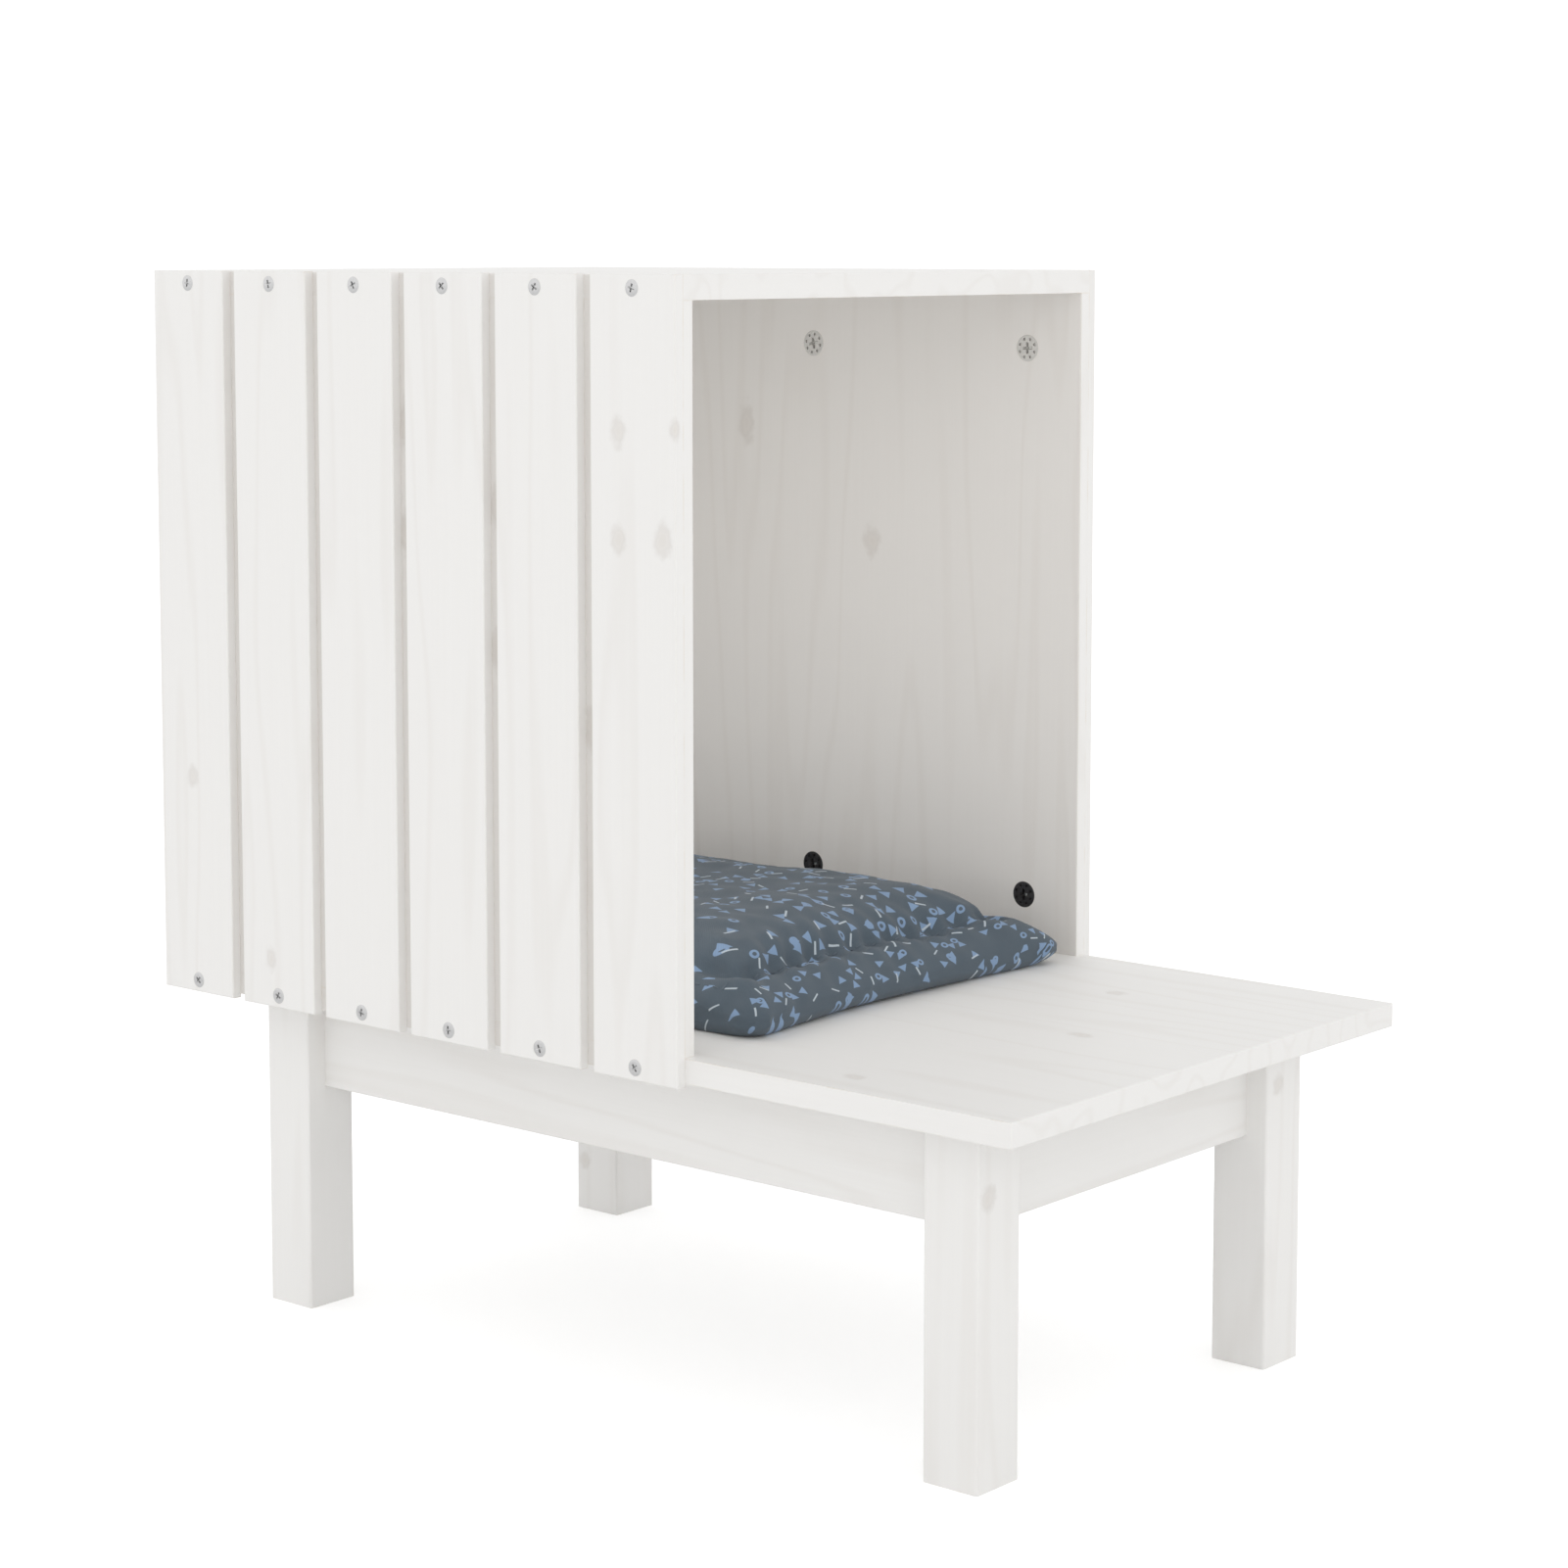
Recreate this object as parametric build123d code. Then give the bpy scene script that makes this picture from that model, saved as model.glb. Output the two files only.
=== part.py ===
from build123d import *
from math import cos, radians, sin
import os

# Slatted pine cat house on a four-legged stand.
# The origin is on the floor under the middle of the house. X runs across the
# doorway, the porch points to -Y, and Z is up. All sizes are in millimetres.

# Overall sizes
overall_width = 360.0       # over the outer faces of the slats
overall_height = 595.0      # floor to the top of the house
platform_length = 603.0     # rear edge to the front edge of the porch
cabin_depth = 397.0         # top panel and side walls, from the rear edge forwards

# Boards
board_thickness = 13.0      # top panel and platform
wall_thickness = 7.5        # side panels behind the slats
back_thickness = 7.5
back_inset = 10.0           # rear edge of the boards to the rear face of the back panel
groove_depth = 5.0          # back panel into the top panel and the platform
panel_clearance = 0.3       # back panel in its grooves and between the side panels
edge_radius = 1.0           # eased edges of boards, rails and slats

# Slats
slats_per_side = 6
slat_thickness = 6.0
slat_gap = 9.4
slat_overhang = 2.0         # slat ends run this far below the platform

# Stand
leg_side = 34.0
leg_height = 185.5
leg_edge_radius = 1.5
leg_side_inset = 28.0       # platform's side edge to the leg
leg_front_inset = 40.5      # platform's front edge to the front legs
leg_rear_inset = 49.0       # platform's rear edge to the rear legs
rail_height = 57.5
rail_thickness = 18.0
rail_inset = 13.0           # outer face of a leg to the outer face of a rail
tenon_thickness = 9.0
tenon_shoulder = 10.0       # above and below a tenon
tenon_clearance = 0.1       # all round a tenon
tenon_tip_room = 0.5        # a tenon's mitred end to the middle of the mitre

# Countersunk screws through the slats
screw_end_distance = 7.0    # screw axis to the slat's end
screw_length = 28.0
screw_shank_diameter = 3.5
screw_head_diameter = 8.6
screw_head_height = 2.6
screw_tip_diameter = 1.0
screw_sink = 0.2            # head below the slat's face
screw_clearance = 0.05      # all round a screw

# Cam locks and their bolts
cam_diameter = 15.0
cam_clearance = 0.1         # all round a cam
cam_edge_distance = 32.0    # cam's axis to the joint that it pulls tight
cam_corner_distance = 38.0  # cam's axis to the front or rear edge of a side panel
cams_per_wall_edge = 3
bolt_engagement = 9.0       # thread in the board beyond the joint
bolt_neck_length = 8.0
bolt_head_length = 3.0
bolt_clearance = 0.1        # all round a bolt
wall_cam_depth = 6.2
wall_bolt_diameter = 3.6
wall_bolt_neck_diameter = 2.4
wall_bolt_head_diameter = 4.4
stand_cam_depth = 12.5
stand_bolt_diameter = 5.0
stand_bolt_neck_diameter = 3.4
stand_bolt_head_diameter = 6.6
stand_cam_spacing = 240.0   # between the two cams that hold the platform on a side rail

# Fasteners are many and small, so they and their bores have flats in place of a round
screw_sides = 12
bolt_sides = 8
cam_sides = 16

# Cushion. An inset is measured inwards from the seam, and a height from the underside.
cushion_side_room = 14.0    # cushion's widest line to the side panels
cushion_rear_room = 22.0    # cushion to the back panel
cushion_porch_reach = 12.0  # cushion's front seam past the front of the cabin
cushion_float = 0.3         # under the cushion
side_draw = 7.0             # how far a side pulls in between two corners
corner_radius = 16.0
seam_height = 9.0           # the seam round the outside
foot_inset = 9.0            # edge of the flat underside
crest_inset = 15.0          # top of the border
border_height = 22.5
channel_inset = 30.0        # the sewn channel between the border and the raised middle
channel_height = 17.0
crown_reach = 60.0          # from the channel to where the raised middle is flat
centre_height = 44.0
border_steps = 3            # sections in each quarter turn of the border
crown_steps = 4             # sections in the raised middle's quarter turn

# Planes worked out from the sizes above
rear = platform_length / 2
porch_front = -platform_length / 2
cabin_front = rear - cabin_depth
slat_outer = overall_width / 2
board_edge = slat_outer - slat_thickness
wall_inner = board_edge - wall_thickness
platform_under = leg_height
platform_top = platform_under + board_thickness
cabin_top = overall_height
ceiling = cabin_top - board_thickness
slat_bottom = platform_under - slat_overhang
slat_width = (cabin_depth - (slats_per_side - 1) * slat_gap) / slats_per_side
back_rear_face = rear - back_inset
back_front_face = back_rear_face - back_thickness
leg_outer_x = board_edge - leg_side_inset
leg_front_y = porch_front + leg_front_inset
leg_rear_y = rear - leg_rear_inset
rail_bottom = leg_height - rail_height
rail_axis_inset = rail_inset + rail_thickness / 2

SIDES = {"left": -1, "right": 1}
ENDS = {"front": -1, "rear": 1}


def span_box(x_span, y_span, z_span):
    """A box between pairs of planes, given in either order."""
    spans = [sorted(span) for span in (x_span, y_span, z_span)]
    sizes = [high - low for low, high in spans]
    middle = [(high + low) / 2 for low, high in spans]
    return Pos(*middle) * Box(*sizes)


def stub(radius, low, high, sides=bolt_sides):
    """A length of rod along the Z axis, with flats."""
    return Pos(0, 0, low) * extrude(RegularPolygon(radius, sides), high - low)


def turned(profile):
    """A solid through (radius, height) points along the Z axis, with flats."""
    sections = [Pos(0, 0, z) * RegularPolygon(radius, screw_sides) for radius, z in profile]
    return loft(sections, ruled=True)


def group(solids):
    """Separate solids that share one node."""
    return Compound(children=list(solids))


# Screws. A screw lies along its own Z axis, with the slat's face at height 0.
screw_seat = -screw_sink - screw_head_height
screw_end = -screw_sink - screw_length


def screw():
    """A countersunk screw with a short point."""
    shank = screw_shank_diameter / 2
    return turned([
        (screw_head_diameter / 2, -screw_sink),
        (shank, screw_seat),
        (shank, screw_end + screw_shank_diameter),
        (screw_tip_diameter / 2, screw_end),
    ])


def screw_bore():
    """The countersunk hole for a screw, from the slat's face into the board's edge."""
    head = screw_head_diameter / 2 + screw_clearance
    shank = screw_shank_diameter / 2 + screw_clearance
    return turned([
        (head, 0),
        (head, -screw_sink),
        (shank, screw_seat),
        (shank, screw_end - screw_clearance),
    ])


def screw_frames(side):
    """The places of one wall's screws: two in each slat, one in each board's edge."""
    heights = (slat_bottom + screw_end_distance, cabin_top - screw_end_distance)
    frames = []
    for index in range(slats_per_side):
        middle = sum(slat_y_span(index)) / 2
        for height in heights:
            place = (side * slat_outer, middle, height)
            frames.append(Plane(origin=place, x_dir=(0, 0, 1), z_dir=(side, 0, 0)))
    return frames


# Cam fittings. The cam's axis is the frame's Z axis, and its face is at height 0.
# The bolt comes in along +Y, and its head stands on the cam's axis.
class CamFitting:
    """One kind of cam lock with its bolt, and the bores that they need."""

    def __init__(self, depth, axis_depth, bolt, neck, head):
        self.depth = depth
        self.axis_depth = axis_depth
        self.bolt = bolt / 2
        self.neck = neck / 2
        self.head = head / 2

    def along_bolt(self, solid):
        """Turns a solid made along Z so that it lies along the bolt."""
        return Pos(0, 0, -self.axis_depth) * Rot(-90, 0, 0) * solid

    def cam(self):
        """The cam, slotted from its rim to the cavity round the bolt's head."""
        body = stub(cam_diameter / 2, -self.depth, 0, cam_sides)
        slot = 2 * (self.neck + 2 * bolt_clearance)
        cavity = 2 * (self.head + bolt_clearance)
        rim = cam_diameter / 2
        slot_box = Pos(0, rim / 2, -self.axis_depth) * Box(slot, rim, slot)
        room = bolt_head_length + 2 * bolt_clearance
        cavity_box = Pos(0, 0, -self.axis_depth) * Box(cavity, room, cavity)
        return body - slot_box - cavity_box

    def bolt_solid(self):
        """The bolt: a head, a thin neck and a plain shank."""
        collar = bolt_head_length / 2
        shoulder = collar + bolt_neck_length
        body = stub(self.head, -collar, collar)
        body += stub(self.neck, collar, shoulder)
        body += stub(self.bolt, shoulder, cam_edge_distance + bolt_engagement)
        return self.along_bolt(body)

    def bores(self):
        """The cam's blind bore and the bolt's channel through both boards."""
        radius = cam_diameter / 2 + cam_clearance
        bore = stub(radius, -self.depth - cam_clearance, 0, cam_sides)
        length = cam_edge_distance + bolt_engagement + bolt_clearance
        channel = stub(self.head + bolt_clearance, 0, cam_edge_distance)
        channel += stub(self.bolt + bolt_clearance, cam_edge_distance, length)
        return bore + self.along_bolt(channel)


def cam_frame(place, mouth, reach):
    """The frame of a cam at place, whose face looks along mouth and bolt points along reach."""
    x_dir = Vector(*reach).cross(Vector(*mouth))
    return Plane(origin=place, x_dir=x_dir, z_dir=mouth)


wall_fitting = CamFitting(
    wall_cam_depth, wall_thickness / 2, wall_bolt_diameter, wall_bolt_neck_diameter,
    wall_bolt_head_diameter,
)
stand_fitting = CamFitting(
    stand_cam_depth, rail_thickness / 2, stand_bolt_diameter, stand_bolt_neck_diameter,
    stand_bolt_head_diameter,
)


def wall_cam_frames(side):
    """One wall's cams: a row below the top panel and a row above the platform."""
    first = cabin_front + cam_corner_distance
    step = (cabin_depth - 2 * cam_corner_distance) / (cams_per_wall_edge - 1)
    frames = []
    for index in range(cams_per_wall_edge):
        y = first + index * step
        upper = (side * wall_inner, y, ceiling - cam_edge_distance)
        lower = (side * wall_inner, y, platform_top + cam_edge_distance)
        frames.append(cam_frame(upper, (-side, 0, 0), (0, 0, 1)))
        frames.append(cam_frame(lower, (-side, 0, 0), (0, 0, -1)))
    return frames


def side_rail_x(side):
    """The outer and inner faces of a side rail."""
    outer = side * (leg_outer_x - rail_inset)
    return outer, outer - side * rail_thickness


def end_rail_y(end):
    """The outer and inner faces of the front or rear rail."""
    face = leg_front_y if end < 0 else leg_rear_y
    outer = face - end * rail_inset
    return outer, outer - end * rail_thickness


def rail_y_ends():
    """Where the side rails meet the front and rear legs."""
    return leg_front_y + leg_side, leg_rear_y - leg_side


def rail_x_ends():
    """Where the front and rear rails meet the left and right legs."""
    return -leg_outer_x + leg_side, leg_outer_x - leg_side


def tenon(side, end, along_side, grow, tip):
    """
    A rail's tenon in one leg, mitred where it meets the other rail's tenon.

    along_side is true for a side rail. The tenon is grown by grow on its faces, and its
    mitred end stands tip short of the middle of the mitre.
    """
    low = rail_axis_inset - tenon_thickness / 2 - grow
    high = rail_axis_inset + tenon_thickness / 2 + grow
    outer_y = leg_front_y if end < 0 else leg_rear_y
    points = []
    for across, along in [(low, leg_side), (high, leg_side), (high, high + tip), (low, low + tip)]:
        in_x, in_y = (across, along) if along_side else (along, across)
        points.append((side * (leg_outer_x - in_x), outer_y - end * in_y))
    bottom = rail_bottom + tenon_shoulder - grow
    height = rail_height - 2 * tenon_shoulder + 2 * grow
    outline = make_face(Polyline(*points, close=True))
    return Pos(0, 0, bottom) * extrude(outline, height, dir=(0, 0, 1))


def rail_tenon(side, end, along_side):
    """The tenon as it is cut on the rail."""
    return tenon(side, end, along_side, 0, tenon_tip_room)


def mortise(side, end, along_side):
    """The hole for a tenon. It runs past the mitre, into the other rail's mortise."""
    return tenon(side, end, along_side, tenon_clearance, -tenon_tip_room)


def platform_cam_frames(side):
    """A side rail's cams whose bolts stand up into the platform."""
    _, inner = side_rail_x(side)
    middle = sum(rail_y_ends()) / 2
    height = platform_under - cam_edge_distance
    frames = []
    for step in (-1, 1):
        place = (inner, middle + step * stand_cam_spacing / 2, height)
        frames.append(cam_frame(place, (-side, 0, 0), (0, 0, 1)))
    return frames


def cut_all(body, frames, cutter):
    """The body less one cutter at each frame."""
    for frame in frames:
        body -= frame * cutter
    return body


# Boards of the cabin
def back_panel_size():
    """The back panel's span across the cabin and its height, with its edges in the grooves."""
    half = wall_inner - panel_clearance
    low = platform_top - groove_depth + panel_clearance
    high = ceiling + groove_depth - panel_clearance
    return (-half, half), (low, high)


def back_groove(z_span):
    """The groove that takes one edge of the back panel."""
    y_span = (back_front_face - panel_clearance, back_rear_face + panel_clearance)
    return span_box((-wall_inner, wall_inner), y_span, z_span)


def top_panel():
    """The roof board: it lies on the side panels, and the slats cover its side edges."""
    x_span = (-board_edge, board_edge)
    body = span_box(x_span, (cabin_front, rear), (ceiling, cabin_top))
    body = fillet(body.edges().group_by(Axis.Z)[-1], edge_radius)
    body -= back_groove((ceiling, ceiling + groove_depth))
    for side in SIDES.values():
        body = cut_all(body, wall_cam_frames(side), wall_fitting.bores())
        body = cut_all(body, screw_frames(side), screw_bore())
    return body


def platform():
    """The floor of the cabin, which runs on to the front as the porch."""
    x_span = (-board_edge, board_edge)
    body = span_box(x_span, (porch_front, rear), (platform_under, platform_top))
    body = fillet(body.edges().group_by(Axis.Y)[0], edge_radius)
    body -= back_groove((platform_top - groove_depth, platform_top))
    for side in SIDES.values():
        body = cut_all(body, wall_cam_frames(side), wall_fitting.bores())
        body = cut_all(body, screw_frames(side), screw_bore())
        body = cut_all(body, platform_cam_frames(side), stand_fitting.bores())
    return body


def side_panel(side):
    """The wall behind one row of slats, standing between the platform and the top panel."""
    x_span = (side * wall_inner, side * board_edge)
    body = span_box(x_span, (cabin_front, rear), (platform_top, ceiling))
    inner_edges = body.edges().filter_by(Axis.Z).sort_by(Axis.X)
    inner_edges = inner_edges[:2] if side > 0 else inner_edges[-2:]
    body = fillet(inner_edges, edge_radius)
    return cut_all(body, wall_cam_frames(side), wall_fitting.bores())


def back_panel():
    """The rear wall, held by its edges in the two grooves."""
    x_span, z_span = back_panel_size()
    return span_box(x_span, (back_front_face, back_rear_face), z_span)


# Slats
def slat_y_span(index):
    """The front and rear edges of a slat, counted from the front."""
    front = cabin_front + index * (slat_width + slat_gap)
    return front, front + slat_width


def slat(side, index):
    """One slat with its outer edges eased and a countersunk hole near each end."""
    x_span = (side * board_edge, side * slat_outer)
    body = span_box(x_span, slat_y_span(index), (slat_bottom, cabin_top))
    outer_face = body.faces().sort_by(Axis.X)[-1 if side > 0 else 0]
    body = fillet(outer_face.edges(), edge_radius)
    frames = screw_frames(side)[2 * index:2 * index + 2]
    return cut_all(body, frames, screw_bore())


# Stand
def leg(side, end):
    """One square leg with its mortises for the two rails that meet in it."""
    outer_x = side * leg_outer_x
    outer_y = leg_front_y if end < 0 else leg_rear_y
    x_span = (outer_x, outer_x - side * leg_side)
    y_span = (outer_y, outer_y - end * leg_side)
    body = span_box(x_span, y_span, (0, leg_height))
    body = fillet(body.edges().filter_by(Axis.Z), leg_edge_radius)
    return body - mortise(side, end, True) - mortise(side, end, False)


def side_rail(side):
    """The long rail under one side of the platform, with a tenon at each end."""
    body = span_box(side_rail_x(side), rail_y_ends(), (rail_bottom, leg_height))
    lower_edges = body.edges().filter_by(Axis.Y).group_by(Axis.Z)[0]
    body = fillet(lower_edges, edge_radius)
    for end in ENDS.values():
        body += rail_tenon(side, end, True)
    return cut_all(body, platform_cam_frames(side), stand_fitting.bores())


def end_rail(end):
    """The short rail under the porch or under the back, with a tenon at each end."""
    body = span_box(rail_x_ends(), end_rail_y(end), (rail_bottom, leg_height))
    lower_edges = body.edges().filter_by(Axis.X).group_by(Axis.Z)[0]
    body = fillet(lower_edges, edge_radius)
    for side in SIDES.values():
        body += rail_tenon(side, end, False)
    return body


# Cushion
def cushion_spans():
    """The cushion's span across the cabin and from front to rear, at its seam."""
    half = wall_inner - cushion_side_room
    return (-half, half), (cabin_front - cushion_porch_reach, back_front_face - cushion_rear_room)


def pad_section(inset, height):
    """A four-cornered outline whose sides pull in between rounded corners."""
    x_span, y_span = cushion_spans()
    left, right = x_span[0] + inset, x_span[1] - inset
    front, back = y_span[0] + inset, y_span[1] - inset
    middle_x, middle_y = (left + right) / 2, (front + back) / 2
    sides = [
        ThreePointArc((left, front), (middle_x, front + side_draw), (right, front)),
        ThreePointArc((right, front), (right - side_draw, middle_y), (right, back)),
        ThreePointArc((right, back), (middle_x, back - side_draw), (left, back)),
        ThreePointArc((left, back), (left + side_draw, middle_y), (left, front)),
    ]
    face = make_face(sides)
    face = fillet(face.vertices(), corner_radius)
    return Pos(0, 0, platform_top + cushion_float + height) * face


def quarter_turn(start, end, steps, steep_first):
    """Points of a quarter ellipse after start, as far as end. A point is (inset, height)."""
    points = []
    for step in range(1, steps + 1):
        angle = radians(90 * step / steps)
        early, late = sin(angle), 1 - cos(angle)
        share_in, share_up = (late, early) if steep_first else (early, late)
        inset = start[0] + (end[0] - start[0]) * share_in
        height = start[1] + (end[1] - start[1]) * share_up
        points.append((inset, height))
    return points


def cushion():
    """The loose pad: a flat border with a rounded edge, a sewn channel and a crowned middle."""
    foot = (foot_inset, 0.0)
    seam = (0.0, seam_height)
    crest = (crest_inset, border_height)
    channel = (channel_inset, channel_height)
    crown = (channel_inset + crown_reach, centre_height)
    profile = [foot]
    profile += quarter_turn(foot, seam, border_steps, steep_first=False)
    profile += quarter_turn(seam, crest, border_steps, steep_first=True)
    profile += quarter_turn(crest, channel, border_steps, steep_first=False)
    profile += quarter_turn(channel, crown, crown_steps, steep_first=True)
    return loft([pad_section(inset, height) for inset, height in profile], ruled=True)


# All pieces under their names
pieces = {
    "top_panel": top_panel(),
    "platform": platform(),
    "back_panel": back_panel(),
    "cushion": cushion(),
}
for side_name, side in SIDES.items():
    pieces[f"side_panel_{side_name}"] = side_panel(side)
    for index in range(slats_per_side):
        pieces[f"slat_{side_name}_{index + 1}"] = slat(side, index)
    pieces[f"slat_screws_{side_name}"] = group(frame * screw() for frame in screw_frames(side))
    frames = wall_cam_frames(side)
    pieces[f"wall_cams_{side_name}"] = group(frame * wall_fitting.cam() for frame in frames)
    pieces[f"wall_bolts_{side_name}"] = group(
        frame * wall_fitting.bolt_solid() for frame in frames
    )
    pieces[f"rail_{side_name}"] = side_rail(side)
    for end_name, end in ENDS.items():
        pieces[f"leg_{end_name}_{side_name}"] = leg(side, end)
for end_name, end in ENDS.items():
    pieces[f"rail_{end_name}"] = end_rail(end)

hold_down_frames = platform_cam_frames(-1) + platform_cam_frames(1)
pieces["platform_cams"] = group(frame * stand_fitting.cam() for frame in hold_down_frames)
pieces["platform_bolts"] = group(frame * stand_fitting.bolt_solid() for frame in hold_down_frames)

os.makedirs("parts", exist_ok=True)
for name, piece in pieces.items():
    piece.label = name
    export_step(piece, f"parts/{name}.step")
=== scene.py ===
"""Dresses the slatted pine cat house: glazed timber, bright screws, cam locks and a printed cushion."""

import logging
import math
from dataclasses import dataclass, field
from enum import Enum

import bmesh
import bpy
from mathutils import Matrix, Vector, noise


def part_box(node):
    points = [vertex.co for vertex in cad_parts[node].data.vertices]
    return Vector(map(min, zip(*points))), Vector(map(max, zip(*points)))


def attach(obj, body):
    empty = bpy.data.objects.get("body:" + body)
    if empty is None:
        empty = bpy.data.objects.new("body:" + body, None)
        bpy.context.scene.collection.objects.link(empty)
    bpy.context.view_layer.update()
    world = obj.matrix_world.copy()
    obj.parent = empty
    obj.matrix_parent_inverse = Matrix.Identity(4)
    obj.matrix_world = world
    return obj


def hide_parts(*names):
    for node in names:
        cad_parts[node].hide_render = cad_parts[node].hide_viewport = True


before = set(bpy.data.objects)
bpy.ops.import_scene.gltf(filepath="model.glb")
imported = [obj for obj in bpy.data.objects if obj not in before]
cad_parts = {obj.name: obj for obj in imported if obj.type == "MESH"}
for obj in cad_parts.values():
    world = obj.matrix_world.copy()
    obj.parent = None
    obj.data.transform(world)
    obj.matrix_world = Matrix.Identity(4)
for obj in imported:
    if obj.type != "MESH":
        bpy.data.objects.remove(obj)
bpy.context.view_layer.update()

log = logging.getLogger("cat_house")
Point = tuple[float, float, float]
Colour = tuple[float, float, float]
SIDES: dict[str, int] = {"left": -1, "right": 1}
SLATS_PER_SIDE = 6
HOUSE = "house"
PAD = "cushion"


class GrainAxis(Enum):
    """The direction in which a board's grain runs."""

    ACROSS = "X"
    DEEP = "Y"
    UP = "Z"


class PaintedShadeZone(Enum):
    """Where a board's colour is darkened as painted shade, standing in for the shade that falls behind the slats and
    inside the cabin.
    """

    NOWHERE = "nowhere"
    BEHIND_SLATS = "behind the slats and inside the cabin"
    EDGE_UNDER_SLATS = "on the edges that the slats cover"


class PadMotif(Enum):
    """The small shapes of the cushion's scattered print."""

    TRIANGLE = "triangle"
    RING = "ring"
    DASH = "dash"


def linear(red: int, green: int, blue: int) -> Colour:
    """Turns a display colour into a linear one.

    Args:
        red: red from 0 to 255.
        green: green from 0 to 255.
        blue: blue from 0 to 255.

    Returns:
        The same colour in linear light.
    """
    channels = [value / 255 for value in (red, green, blue)]
    return tuple(c / 12.92 if c <= 0.04045 else ((c + 0.055) / 1.055) ** 2.4 for c in channels)


class Nodes:
    """Places and joins shader nodes in one tree."""

    def __init__(self, tree: bpy.types.NodeTree) -> None:
        """Keeps the tree that the nodes go in.

        Args:
            tree: a material's tree or a node group.
        """
        self.tree = tree

    def join(self, source: bpy.types.NodeSocket, target: bpy.types.NodeSocket) -> None:
        """Links one socket to another."""
        self.tree.links.new(source, target)

    def feed(self, socket: bpy.types.NodeSocket, value: object) -> None:
        """Gives an input a constant or a link.

        Args:
            socket: the input.
            value: a number, a tuple or another node's output.
        """
        if isinstance(value, bpy.types.NodeSocket):
            self.join(value, socket)
        elif isinstance(value, tuple) and socket.type == "RGBA" and len(value) == 3:
            socket.default_value = (*value, 1.0)
        else:
            socket.default_value = value

    def math(self, operation: str, *values: object, clamp: bool = False) -> bpy.types.NodeSocket:
        """Adds a Math node.

        Args:
            operation: the node's operation.
            values: its inputs in order.
            clamp: keep the result from 0 to 1.

        Returns:
            The node's output.
        """
        node = self.tree.nodes.new("ShaderNodeMath")
        node.operation = operation
        node.use_clamp = clamp
        for socket, value in zip(node.inputs, values):
            self.feed(socket, value)
        return node.outputs[0]

    def vector(self, operation: str, *values: object) -> bpy.types.NodeSocket:
        """Adds a Vector Math node.

        Args:
            operation: the node's operation.
            values: its inputs in order.

        Returns:
            The node's value output for a length or a dot product, or else its vector.
        """
        node = self.tree.nodes.new("ShaderNodeVectorMath")
        node.operation = operation
        for socket, value in zip(node.inputs, values):
            self.feed(socket, value)
        scalar = operation in ("LENGTH", "DOT_PRODUCT", "DISTANCE")
        return node.outputs["Value" if scalar else "Vector"]

    def noise(self, vector: object, detail: float = 2.0, rough: float = 0.5) -> bpy.types.NodeSocket:
        """Adds a noise texture of scale 1.

        Args:
            vector: where it is read.
            detail: how many octaves it has.
            rough: how strong the finer octaves are.

        Returns:
            Its value, from 0 to 1.
        """
        node = self.tree.nodes.new("ShaderNodeTexNoise")
        node.inputs["Scale"].default_value = 1.0
        node.inputs["Detail"].default_value = detail
        node.inputs["Roughness"].default_value = rough
        self.feed(node.inputs["Vector"], vector)
        return node.outputs["Fac"]

    def ramp(self, value: object, low: float, high: float) -> bpy.types.NodeSocket:
        """Rises smoothly from 0 to 1, or falls if low is above high.

        Args:
            value: what is tested.
            low: the value that gives 0.
            high: the value that gives 1.

        Returns:
            The smooth step's output.
        """
        node = self.tree.nodes.new("ShaderNodeMapRange")
        node.interpolation_type = "SMOOTHSTEP"
        falls = low > high
        self.feed(node.inputs["Value"], value)
        node.inputs["From Min"].default_value = min(low, high)
        node.inputs["From Max"].default_value = max(low, high)
        node.inputs["To Min"].default_value = 1.0 if falls else 0.0
        node.inputs["To Max"].default_value = 0.0 if falls else 1.0
        return node.outputs["Result"]

    def mix(self, factor: object, first: object, second: object) -> bpy.types.NodeSocket:
        """Mixes two colours.

        Args:
            factor: 0 for the first and 1 for the second.
            first: a colour or a link.
            second: a colour or a link.

        Returns:
            The mixed colour.
        """
        node = self.tree.nodes.new("ShaderNodeMix")
        node.data_type = "RGBA"
        self.feed(node.inputs[0], factor)
        self.feed(node.inputs[6], first)
        self.feed(node.inputs[7], second)
        return node.outputs[2]

    def place(self, group: bpy.types.NodeTree, **values: object) -> bpy.types.Node:
        """Adds a node group with its inputs set.

        Args:
            group: the group to place.
            values: its inputs by name, with underscores for spaces.

        Returns:
            The group's node.
        """
        node = self.tree.nodes.new("ShaderNodeGroup")
        node.node_tree = group
        for name, value in values.items():
            self.feed(node.inputs[name.replace("_", " ")], value)
        return node


def new_group(name: str, inputs: dict[str, str], outputs: dict[str, str]) -> tuple:
    """Makes an empty shader node group.

    Args:
        name: the group's name.
        inputs: socket kinds by name.
        outputs: socket kinds by name.

    Returns:
        The group, its Nodes helper, its input node and its output node.
    """
    group = bpy.data.node_groups.new(name, "ShaderNodeTree")
    for direction, sockets in (("INPUT", inputs), ("OUTPUT", outputs)):
        for label, kind in sockets.items():
            group.interface.new_socket(name=label, in_out=direction, socket_type=f"NodeSocket{kind}")
    source = group.nodes.new("NodeGroupInput")
    sink = group.nodes.new("NodeGroupOutput")
    return group, Nodes(group), source, sink


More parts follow.
